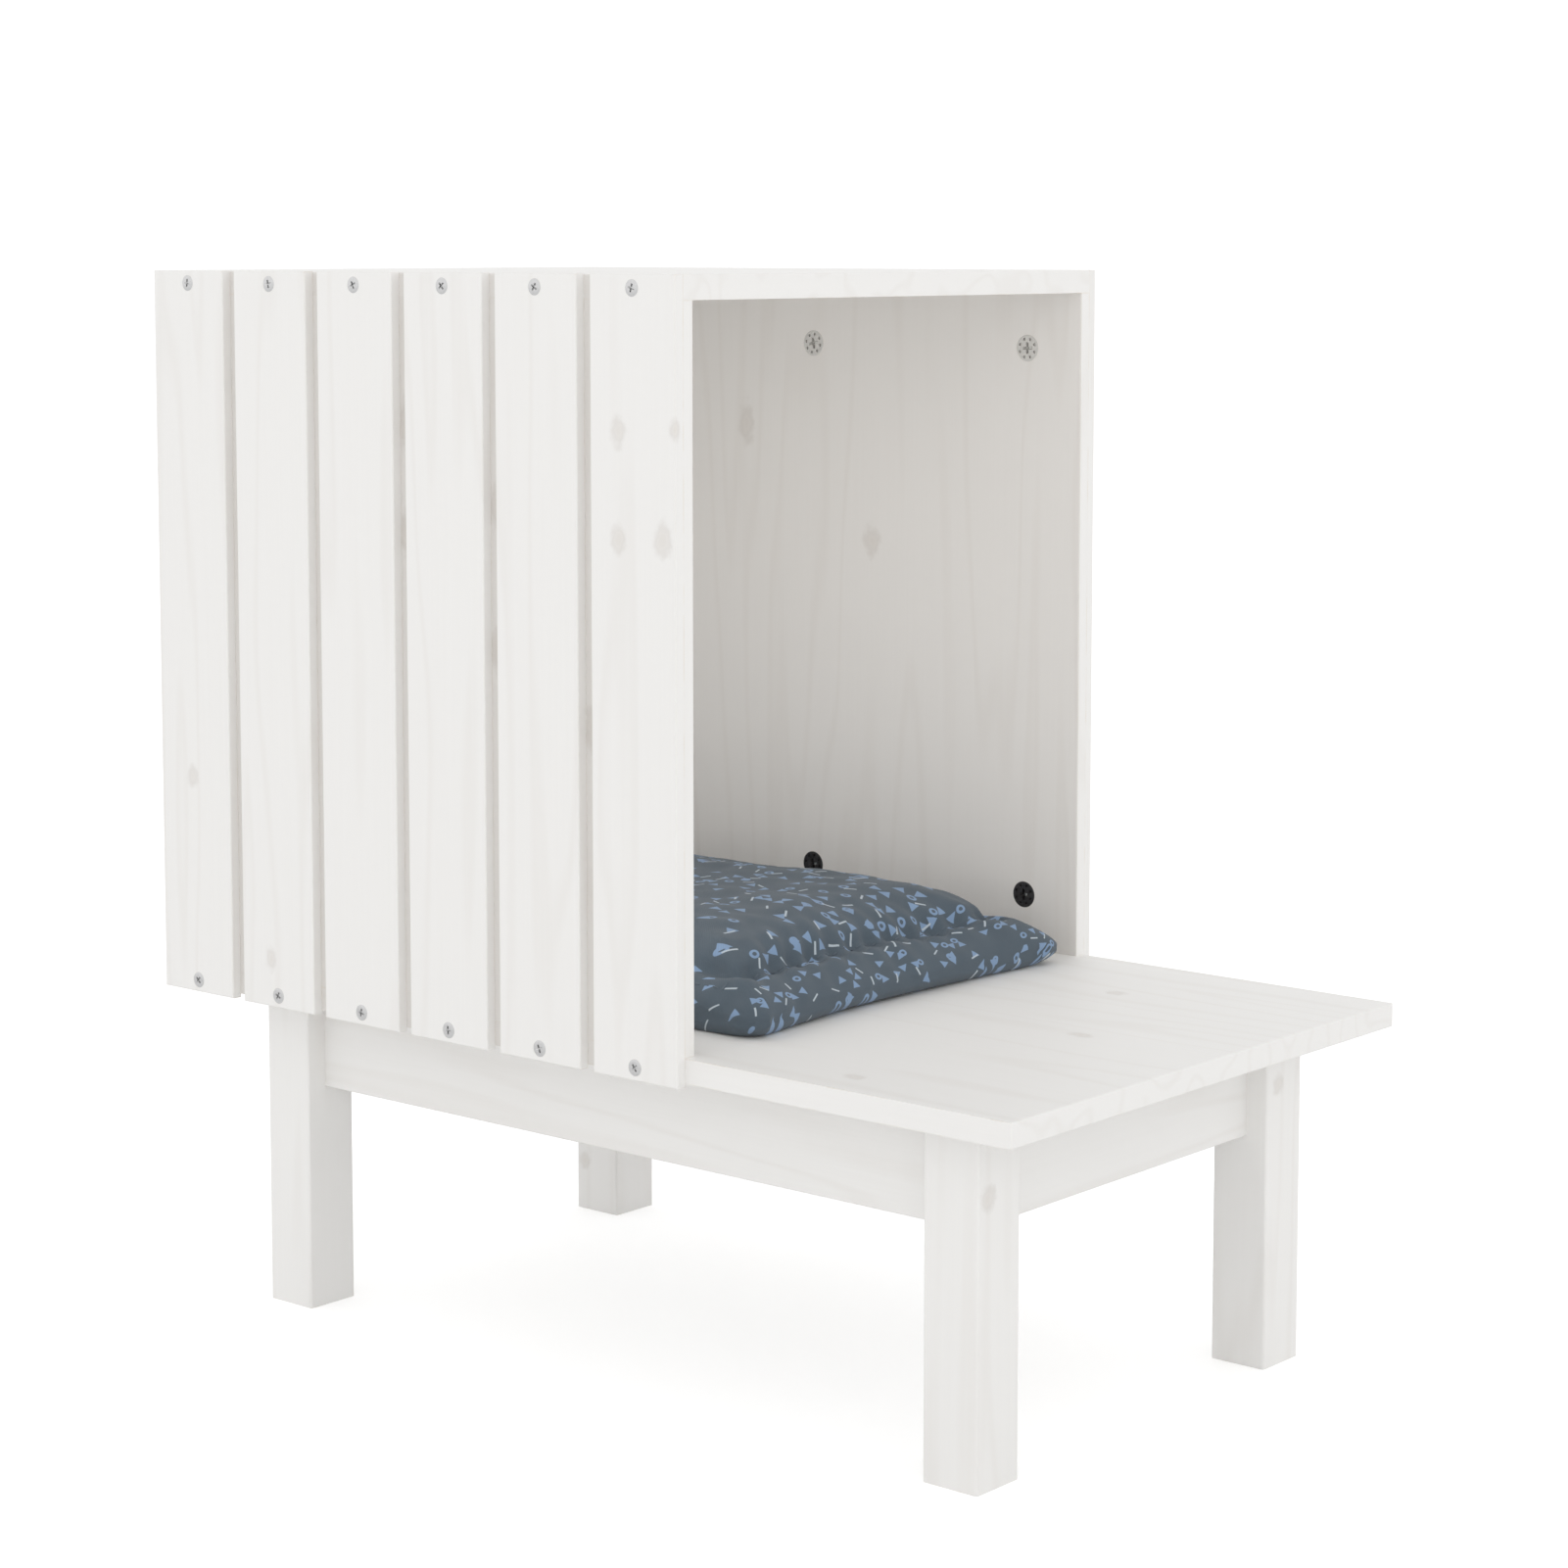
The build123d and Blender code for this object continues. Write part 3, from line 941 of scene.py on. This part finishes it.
@dataclass
class Cushion:
    """The loose pad: a flat border round a crowned middle, swollen by simulated cloth."""

    voxel: float = 0.005
    shrink: float = 0.0015
    pressure: float = 4.0
    frames: int = 20
    cap: float = 0.006
    side_draw: float = 0.007
    corner_radius: float = 0.016
    channel_inset: float = 0.030
    channel_width: float = 0.0045
    channel_depth: float = 0.0035
    pucker_pitch: float = 0.019
    pucker_depth: float = 0.0017
    wrinkle_depth: float = 0.0026
    rim_crease: float = 0.0014
    rim_width: float = 0.0018
    ear_reach: float = 0.004
    long_ear_reach: float = 0.011
    corner_pull: float = 0.024
    seam_height: float = 0.009
    stitch_length: float = 0.0042
    stitch_gap: float = 0.0026
    stitch_radius: float = 0.0004

    def __post_init__(self) -> None:
        """Reads the space that the pad has to fit."""
        low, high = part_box("cushion")
        self.low = Vector(low)
        self.high = Vector(high)
        self.middle = (self.low + self.high) / 2
        self.half = (self.high - self.low) / 2

    def inset(self, point: Vector) -> float:
        """How far a point lies inside the pad's outline, seen from above.

        Args:
            point: the point.

        Returns:
            The distance in metres, negative outside.
        """
        x, y = point.x - self.middle.x, point.y - self.middle.y
        draw_x = self.side_draw * max(0.0, 1 - (y / self.half.y) ** 2)
        draw_y = self.side_draw * max(0.0, 1 - (x / self.half.x) ** 2)
        past_x = abs(x) - (self.half.x - draw_x - self.corner_radius)
        past_y = abs(y) - (self.half.y - draw_y - self.corner_radius)
        outside = math.hypot(max(past_x, 0.0), max(past_y, 0.0))
        return self.corner_radius - outside - min(max(past_x, past_y), 0.0)

    def swollen(self, start: bpy.types.Mesh) -> bpy.types.Mesh:
        """Remeshes the pad and lets cloth under pressure fill it out.

        Args:
            start: the pad's plain mesh.

        Returns:
            The filled mesh.
        """
        blank = finished_object("pad_blank", start, [])
        remesh = blank.modifiers.new("remesh", "REMESH")
        remesh.mode, remesh.voxel_size = "VOXEL", self.voxel
        even = bpy.data.meshes.new_from_object(blank.evaluated_get(bpy.context.evaluated_depsgraph_get()))
        bpy.data.objects.remove(blank, do_unlink=True)
        cloth_piece = finished_object("pad_cloth", even, [])
        shape = [v.co.copy() for v in even.vertices]
        normals = [v.normal.copy() for v in even.vertices]
        for vertex, normal in zip(even.vertices, normals):
            vertex.co -= normal * self.shrink
        cloth = cloth_piece.modifiers.new("cloth", "CLOTH")
        cloth.settings.use_pressure = True
        cloth.settings.uniform_pressure_force = self.pressure
        cloth.settings.effector_weights.gravity = 0
        scene = bpy.context.scene
        for step in range(1, self.frames + 1):
            scene.frame_set(step)
        result = bpy.data.meshes.new_from_object(
            cloth_piece.evaluated_get(bpy.context.evaluated_depsgraph_get())
        )
        scene.frame_set(1)
        bpy.data.objects.remove(cloth_piece, do_unlink=True)
        for vertex, home in zip(result.vertices, shape):
            move = vertex.co - home
            if move.length > self.cap:
                vertex.co = home + move * (self.cap / move.length)
        return result

    def subdivided(self, mesh: bpy.types.Mesh) -> bpy.types.Mesh:
        """Adds one subdivision.

        Args:
            mesh: the coarser mesh.

        Returns:
            The finer mesh.
        """
        blank = finished_object("pad_fine", mesh, [])
        smoother = blank.modifiers.new("smooth", "SMOOTH")
        smoother.iterations = 3
        finer = blank.modifiers.new("finer", "SUBSURF")
        finer.levels = finer.render_levels = 1
        fine = bpy.data.meshes.new_from_object(blank.evaluated_get(bpy.context.evaluated_depsgraph_get()))
        bpy.data.objects.remove(blank, do_unlink=True)
        return fine

    def sculpt(self, mesh: bpy.types.Mesh) -> None:
        """Presses in the channel and puckers, draws out the ears and keeps the pad in its space.

        Args:
            mesh: the pad's mesh, changed in place.
        """
        floor = self.low.z
        normals = [v.normal.copy() for v in mesh.vertices]
        for vertex, normal in zip(mesh.vertices, normals):
            home = vertex.co.copy()
            inset = self.inset(home)
            around = math.atan2(home.y - self.middle.y, home.x - self.middle.x)
            run = around * (self.half.x + self.half.y) / 2
            upper = max(0.0, min(1.0, (home.z - floor - self.seam_height) / 0.006))
            off = (inset - self.channel_inset) / self.channel_width
            groove = math.exp(-off * off) * upper
            pucker = math.sin(math.tau * run / self.pucker_pitch) * math.exp(-abs(off) / 2.6) * upper
            ripple = noise.noise(home * 26.0) + 0.5 * noise.noise(home * 61.0)
            shift = -groove * self.channel_depth
            shift += pucker * self.pucker_depth + ripple * self.wrinkle_depth * upper
            above_seam = (home.z - floor - self.seam_height) / self.rim_width
            outer = max(0.0, min(1.0, (self.corner_radius - inset) / self.corner_radius))
            shift -= self.rim_crease * math.exp(-above_seam * above_seam) * outer
            vertex.co = home + normal * shift
            corner_x = max(0.0, abs(home.x - self.middle.x) / self.half.x - 0.82) / 0.18
            corner_y = max(0.0, abs(home.y - self.middle.y) / self.half.y - 0.85) / 0.15
            front_right = home.x > self.middle.x and home.y < self.middle.y
            reach = self.long_ear_reach if front_right else self.ear_reach
            ear = min(corner_x, 1.0) * min(corner_y, 1.0) * reach
            away = Vector((home.x - self.middle.x, home.y - self.middle.y, 0)).normalized()
            vertex.co += away * ear
            leftward = max(0.0, (self.middle.x - home.x) / self.half.x - 0.3) / 0.7
            forward = max(0.0, (self.middle.y - home.y) / self.half.y + 0.2) / 1.2
            vertex.co.x += self.corner_pull * min(leftward, 1.0) * min(forward, 1.0)
            vertex.co.z = max(vertex.co.z, floor)

    def stitches(self, mesh: bpy.types.Mesh) -> bpy.types.Mesh:
        """Lays thread stitches in the channel.

        Args:
            mesh: the finished pad.

        Returns:
            The stitches' mesh.
        """
        from mathutils.bvhtree import BVHTree

        verts = [v.co for v in mesh.vertices]
        tree = BVHTree.FromPolygons(verts, [p.vertices for p in mesh.polygons])
        line = self.channel_line(720)
        lengths = [0.0]
        for first, second in zip(line, line[1:]):
            lengths.append(lengths[-1] + (second - first).length)
        shape = bmesh.new()
        travelled, total = 0.0, lengths[-1]
        while travelled + self.stitch_length < total:
            ends = [self.at_length(line, lengths, travelled + part) for part in (0.0, self.stitch_length)]
            seated = []
            for end in ends:
                hit = tree.ray_cast(Vector((end.x, end.y, self.high.z + 0.05)), Vector((0, 0, -1)))[0]
                if hit is not None:
                    seated.append(hit + Vector((0, 0, self.stitch_radius * 0.5)))
            if len(seated) == 2:
                self.add_stitch(shape, *seated)
            travelled += self.stitch_length + self.stitch_gap
        result = bpy.data.meshes.new("cushion_stitches")
        shape.to_mesh(result)
        shape.free()
        return result

    def channel_line(self, steps: int) -> list[Vector]:
        """Finds the channel's line by its inset, going once round the pad.

        Args:
            steps: how many points go round.

        Returns:
            The points, with the first one again at the end.
        """
        points = []
        for step in range(steps + 1):
            angle = math.tau * step / steps
            way = Vector((math.cos(angle), math.sin(angle), 0))
            near, far = 0.0, 0.5
            for _ in range(30):
                reach = (near + far) / 2
                if self.inset(self.middle + way * reach) > self.channel_inset:
                    near = reach
                else:
                    far = reach
            points.append(self.middle + way * near)
        return points

    @staticmethod
    def at_length(line: list[Vector], lengths: list[float], wanted: float) -> Vector:
        """The point a given way along a line.

        Args:
            line: the line's points.
            lengths: the way to each point.
            wanted: the way to go.

        Returns:
            The point.
        """
        for index in range(1, len(line)):
            if lengths[index] >= wanted:
                span = lengths[index] - lengths[index - 1]
                share = (wanted - lengths[index - 1]) / span
                return line[index - 1].lerp(line[index], share)
        return line[-1]

    def add_stitch(self, shape: bmesh.types.BMesh, start: Vector, end: Vector) -> None:
        """Adds one stitch as a slim closed rod.

        Args:
            shape: where it is added.
            start: one end.
            end: the other end.
        """
        along = end - start
        turn = along.to_track_quat("Z", "Y").to_matrix().to_4x4()
        rod = bmesh.new()
        radius, length = self.stitch_radius, along.length
        lathe(rod, [(0, length), (radius, length * 0.85), (radius, length * 0.15), (0, 0)], 8)
        rod.transform(Matrix.Translation(start) @ turn)
        spare = bpy.data.meshes.new("stitch")
        rod.to_mesh(spare)
        rod.free()
        shape.from_mesh(spare)
        bpy.data.meshes.remove(spare)

    def build(self, cloth: bpy.types.Material, thread: bpy.types.Material) -> None:
        """Makes the pad and its stitches in place of the CAD node, which it hides.

        Args:
            cloth: the pad's cloth.
            thread: the stitches' thread.
        """
        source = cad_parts["cushion"]
        plain = source.data.copy()
        weld = bmesh.new()
        weld.from_mesh(plain)
        bmesh.ops.remove_doubles(weld, verts=weld.verts, dist=0.00002)
        weld.to_mesh(plain)
        weld.free()
        fine = self.subdivided(self.swollen(plain))
        self.sculpt(fine)
        for polygon in fine.polygons:
            polygon.use_smooth = True
        pad = finished_object("cushion_pad", fine, [cloth])
        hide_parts("cushion")
        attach(pad, PAD)
        rows = finished_object("cushion_stitches", self.stitches(fine), [thread])
        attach(rows, PAD)
        log.info("cushion_pad: %d points", len(fine.vertices))


@dataclass
class Timber:
    """Every board, slat, leg and rail, with its grain's way and the knots that show."""

    finish: GlazedPine = field(default_factory=GlazedPine)
    gap_knots: tuple[tuple[float, float], ...] = (
        (0.103, 0.515),
        (0.103, 0.457),
        (0.035, 0.473),
        (0.035, 0.397),
        (-0.0325, 0.362),
    )
    slat_knots: dict[str, list[tuple[float, float, float]]] = field(
        default_factory=lambda: {
            "slat_left_1": [
                (-0.0564, 0.516, 0.0042),
                (-0.0956, 0.518, 0.0030),
                (-0.0564, 0.461, 0.0040),
                (-0.0869, 0.462, 0.0048),
            ],
            "slat_left_5": [(0.210, 0.211, 0.0035)],
            "slat_left_6": [(0.275, 0.308, 0.0035)],
        }
    )

    def axis_of(self, node: str) -> GrainAxis:
        """The way a node's grain runs.

        Args:
            node: the CAD node's name.

        Returns:
            The axis.
        """
        if node in ("platform", "top_panel") or node in ("rail_left", "rail_right"):
            return GrainAxis.DEEP
        if node in ("rail_front", "rail_rear"):
            return GrainAxis.ACROSS
        return GrainAxis.UP

    def painted_shade_zone_of(self, node: str) -> PaintedShadeZone:
        """Where a node gets painted shade.

        Args:
            node: the CAD node's name.

        Returns:
            The place.
        """
        if node.startswith("side_panel"):
            return PaintedShadeZone.BEHIND_SLATS
        if node in ("top_panel", "platform"):
            return PaintedShadeZone.EDGE_UNDER_SLATS
        return PaintedShadeZone.NOWHERE

    def knots_of(self, node: str) -> list[Knot]:
        """The knots that show on a node.

        Args:
            node: the CAD node's name.

        Returns:
            The knots.
        """
        low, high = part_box(node)
        if node in self.slat_knots:
            return [Knot((low[0], y, z), radius) for y, z, radius in self.slat_knots[node]]
        if node == "side_panel_right":
            inner = low[0]
            return [
                Knot((inner, 0.1565, 0.500), 0.0045, 2.2),
                Knot((inner, 0.0577, 0.432), 0.0052, 1.4),
            ]
        if node == "side_panel_left":
            return [Knot((low[0], y, z), 0.0052, 1.8) for y, z in self.gap_knots]
        if node == "platform":
            top = high[2]
            specks = [(0.098, -0.171), (0.0, -0.217), (-0.149, -0.186)]
            return [Knot((x, y, top), 0.0036, 1.4) for x, y in specks]
        if node == "leg_front_left":
            return [Knot((-0.138, low[1], 0.148), 0.0045, 1.1)]
        if node == "leg_front_right":
            return [Knot((0.1234, low[1], 0.156), 0.0040, 1.1)]
        if node == "leg_rear_right":
            return [Knot((low[0], 0.246, 0.031), 0.0035, 1.2)]
        return []

    def dress(self, effects: Effects) -> None:
        """Gives every wooden node its own material.

        Args:
            effects: the shared node groups.
        """
        wooden = ("slat_left", "slat_right", "side_panel", "leg_", "rail_")
        boards = ("top_panel", "platform", "back_panel")
        for index, (name, piece) in enumerate(sorted(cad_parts.items())):
            is_wood = name in boards or (name.startswith(wooden) and "screws" not in name)
            if not is_wood:
                continue
            seed = 1.0 + index * 0.73
            material = self.finish.material(
                name, effects, self.axis_of(name), seed, self.knots_of(name), self.painted_shade_zone_of(name)
            )
            piece.data.materials.clear()
            piece.data.materials.append(material)
            log.info("%s: pine", name)


@dataclass
class Studio:
    """The floor, the soft light and the camera at the photograph's angle."""

    camera_place: Point = (-1.497, -1.2787, 0.6106)
    yaw: float = 49.812
    pitch: float = 5.667
    lens: float = 81.734
    sensor: float = 36.0
    rise: float = -0.12
    floor_size: float = 12.0
    floor_glow: float = 0.34
    horizon: float = 1.08
    zenith: float = 0.80
    key_power: float = 5.0
    cabin_power: float = 0.36

    def floor(self) -> None:
        """Lays a plain pale floor."""
        mesh = bpy.data.meshes.new("floor")
        half = self.floor_size / 2
        corners = [(-half, -half, 0), (half, -half, 0), (half, half, 0), (-half, half, 0)]
        mesh.from_pydata(corners, [], [(0, 1, 2, 3)])
        material, n, shader, _ = new_material("studio_floor")
        shader.inputs["Base Color"].default_value = (*linear(246, 246, 246), 1.0)
        shader.inputs["Roughness"].default_value = 0.9
        shader.inputs["Emission Color"].default_value = (1.0, 1.0, 1.0, 1.0)
        seen = n.tree.nodes.new("ShaderNodeLightPath").outputs["Is Camera Ray"]
        n.join(n.math("MULTIPLY", seen, self.floor_glow), shader.inputs["Emission Strength"])
        piece = finished_object("floor", mesh, [material])

    def area(self, name: str, place: Point, size: float, power: float) -> None:
        """Adds a soft square light aimed at the house.

        Args:
            name: the light's name.
            place: where it stands.
            size: the side of the square in metres.
            power: its power in watts.
        """
        light = bpy.data.lights.new(name, "AREA")
        light.shape, light.size, light.energy = "SQUARE", size, power
        lamp = bpy.data.objects.new(name, light)
        lamp.location = place
        aim = Vector((0, 0, 0.3)) - Vector(place)
        lamp.rotation_euler = aim.to_track_quat("-Z", "Y").to_euler()
        bpy.context.scene.collection.objects.link(lamp)

    def camera(self) -> None:
        """Stands the camera where the photograph was taken from."""
        data = bpy.data.cameras.new("camera")
        data.lens, data.sensor_width, data.shift_y = self.lens, self.sensor, self.rise
        camera = bpy.data.objects.new("camera", data)
        camera.location = self.camera_place
        yaw, pitch = math.radians(self.yaw), math.radians(self.pitch)
        ahead = Vector((math.sin(yaw) * math.cos(pitch), math.cos(yaw) * math.cos(pitch), -math.sin(pitch)))
        camera.rotation_euler = ahead.to_track_quat("-Z", "Y").to_euler()
        bpy.context.scene.collection.objects.link(camera)
        bpy.context.scene.camera = camera

    def cabin_fill(self) -> None:
        """Lightens the inside of the cabin from its left wall, as a reflector would."""
        low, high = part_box("side_panel_left")
        light = bpy.data.lights.new("cabin_fill", "AREA")
        light.shape, light.energy = "RECTANGLE", self.cabin_power
        light.size, light.size_y = high[1] - low[1] - 0.03, high[2] - low[2] - 0.05
        lamp = bpy.data.objects.new("cabin_fill", light)
        lamp.location = (high[0] + 0.004, (low[1] + high[1]) / 2, (low[2] + high[2]) / 2)
        lamp.rotation_euler = Matrix(((0, 0, -1), (1, 0, 0), (0, -1, 0))).to_euler()
        lamp.visible_camera = False
        bpy.context.scene.collection.objects.link(lamp)

    def white_room(self) -> None:
        """Surrounds the house with even white light, a little dimmer overhead."""
        world = bpy.data.worlds.new("studio")
        world.use_nodes = True
        n = Nodes(world.node_tree)
        background = world.node_tree.nodes["Background"]
        background.inputs["Color"].default_value = (1.0, 1.0, 1.0, 1.0)
        way = world.node_tree.nodes.new("ShaderNodeTexCoord").outputs["Generated"]
        axes = world.node_tree.nodes.new("ShaderNodeSeparateXYZ")
        n.join(way, axes.inputs[0])
        rise = n.ramp(axes.outputs[2], 0.35, 1.0)
        strength = n.math("MULTIPLY_ADD", rise, self.zenith - self.horizon, self.horizon)
        n.join(strength, background.inputs["Strength"])
        bpy.context.scene.world = world
        bpy.context.scene.view_settings.view_transform = "Standard"

    def build(self) -> None:
        """Sets up the whole studio."""
        self.floor()
        self.area("key", (-2.4, -2.4, 1.1), 2.6, self.key_power)
        self.cabin_fill()
        self.white_room()
        self.camera()
        log.info("studio: floor, key light, white room and camera")


def dress_hidden_metal(effects: Effects) -> None:
    """Gives the hidden bolts and the stand's cams their metals.

    Args:
        effects: the shared node groups.
    """
    bolt = PlatedMetal("bolt_plating", linear(196, 196, 192), 0.32).material(effects)
    lock = PlatedMetal("stand_lock", linear(160, 160, 162), 0.45).material(effects)
    for name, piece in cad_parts.items():
        if "bolts" in name or name == "platform_cams":
            piece.data.materials.clear()
            piece.data.materials.append(lock if "cams" in name else bolt)
            log.info("%s: metal", name)


def main() -> None:
    """Builds every sub-assembly in order."""
    logging.basicConfig(level=logging.INFO, format="%(name)s %(message)s")
    effects = Effects()
    Studio().build()
    Timber().dress(effects)
    dress_hidden_metal(effects)
    bright = PlatedMetal("screw_plating", linear(212, 212, 212), 0.3).material(effects)
    # The cams are one metal in two copies: pale for the upper row and dark for the lower, a painted reflection
    # standing in for how each row catches the light.
    pale = PlatedMetal("cam_metal_painted_light", linear(206, 204, 200), 0.5, 0.3).material(effects)
    dark = PlatedMetal("cam_metal_painted_dark", linear(84, 82, 82), 0.35, 0.8).material(effects)
    for side in SIDES:
        SlatScrews(side).build(bright)
        WallCams(side).build(pale, dark)
    pad = Cushion()
    cloth = PrintedCotton().material(effects, pad.middle, pad.half)
    thread = PlatedMetal("thread", linear(96, 106, 116), 0.85, 0.0).material(effects)
    pad.build(cloth, thread)


if __name__ == "__main__":
    main()
